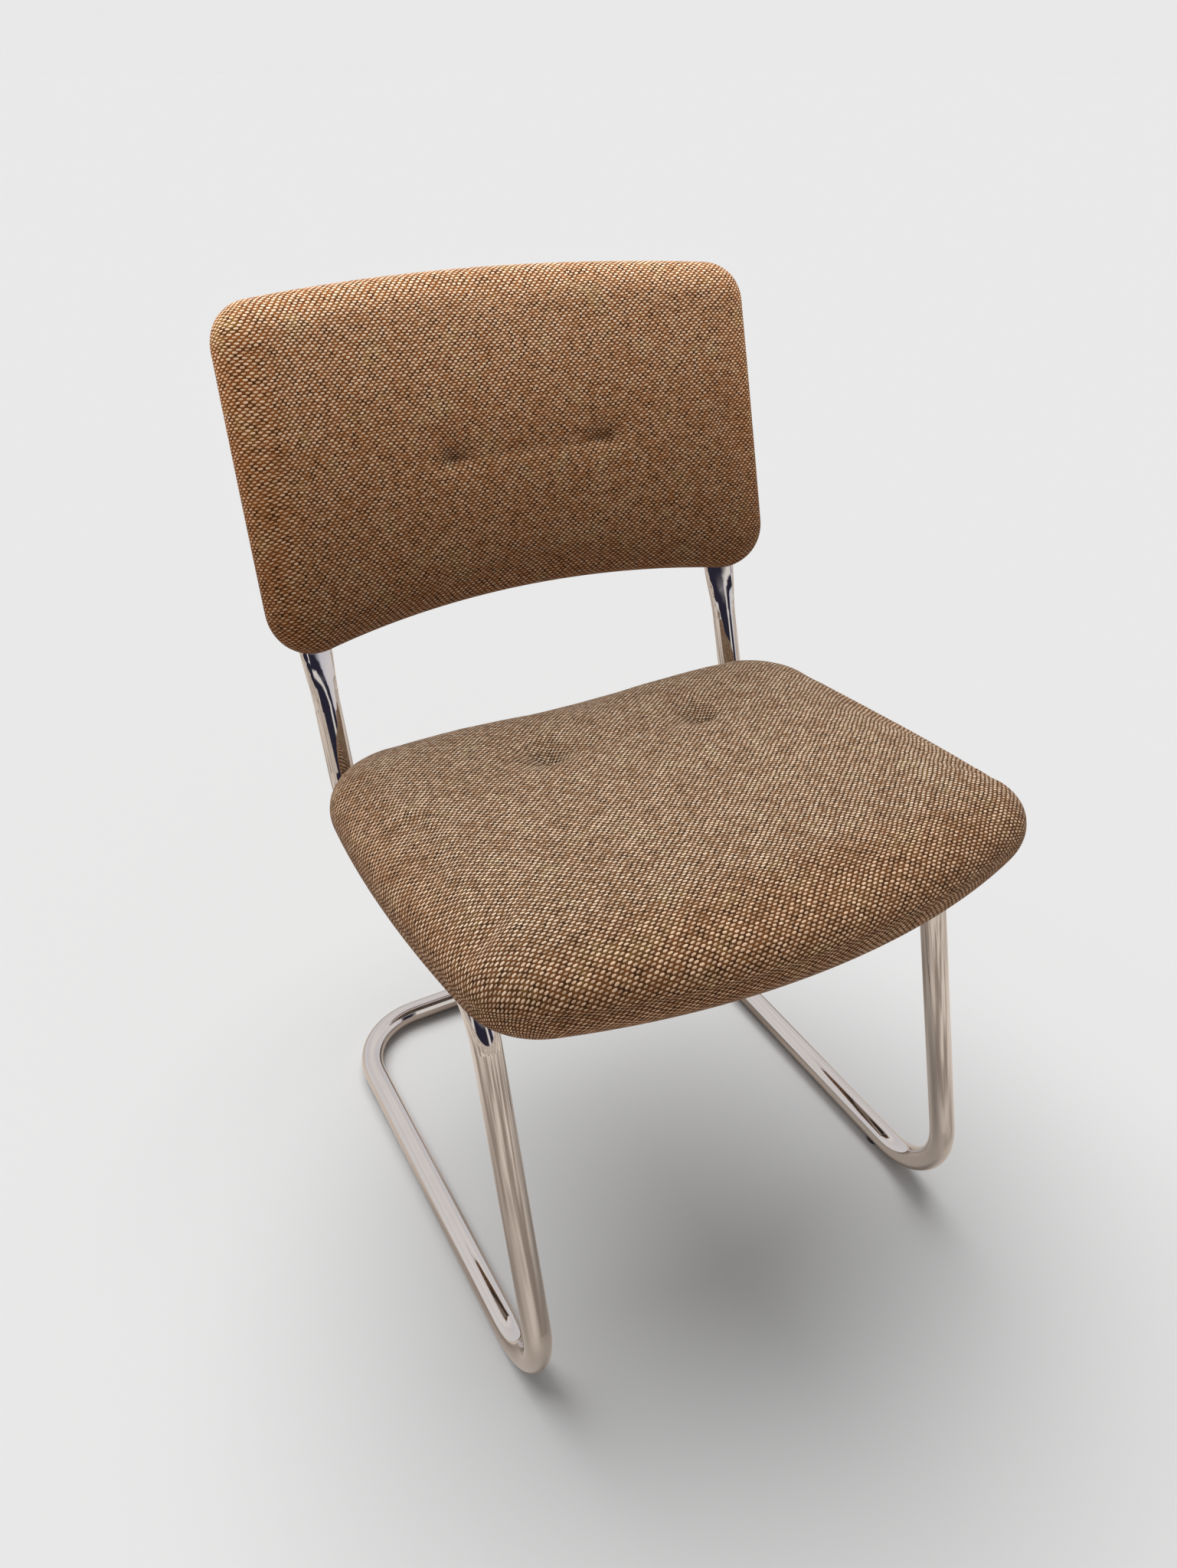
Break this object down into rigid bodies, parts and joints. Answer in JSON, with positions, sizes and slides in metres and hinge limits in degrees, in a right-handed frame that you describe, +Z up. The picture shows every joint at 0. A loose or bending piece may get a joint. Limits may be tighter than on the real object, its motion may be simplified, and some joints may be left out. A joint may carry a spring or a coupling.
{
  "type": "cantilever chair",
  "caption": "Armless cantilever side chair: bent chromed steel tube frame, upholstered tweed seat and curved upholstered back.",
  "frame": {"origin": "on the floor, under the middle of the chair's outline", "axes": "+Z up, the chair faces -Y, +X to the right of the viewer who stands in front of the chair"},
  "size_m": [0.4846, 0.5598, 0.7606],
  "materials": {
    "chromed_tube": "bright nickel-chrome plate, lightly aged",
    "chromed_bar": "chrome plate over weld spatter, duller than the tube",
    "glide_nylon": "moulded nylon, scuffed underneath",
    "tweed": "coarse wool tweed, rust and tan yarns with cream flecks",
    "foam": "open-cell upholstery foam",
    "plywood": "raw pressed plywood",
    "dust_cloth": "black non-woven cloth",
    "plated_steel": "zinc-plated steel",
    "twine": "waxed upholstery twine",
    "fibre_disc": "vulcanised fibre"
  },
  "bodies": {
    "root": {"frame_tube": "chromed_tube", "front_crossbar": "chromed_bar", "rear_crossbar": "chromed_bar", "glide_front_left": "glide_nylon", "glide_front_right": "glide_nylon", "glide_rear_left": "glide_nylon", "glide_rear_right": "glide_nylon", "seat_cover": "tweed", "seat_foam": "foam", "seat_board": "plywood", "seat_dust_cover": "dust_cloth", "seat_staples": "plated_steel", "seat_tuft_ties": "twine", "seat_tuft_anchors": "fibre_disc", "seat_t_nuts": "plated_steel", "seat_bolts": "plated_steel", "seat_bolt_washers": "plated_steel", "back_cover_front": "tweed", "back_cover_rear": "tweed", "back_front_foam": "foam", "back_rear_foam": "foam", "back_board": "plywood", "back_tuft_ties": "twine", "back_tuft_anchors": "fibre_disc", "back_t_nuts": "plated_steel", "back_screws": "plated_steel"}
  },
  "joints": []
}
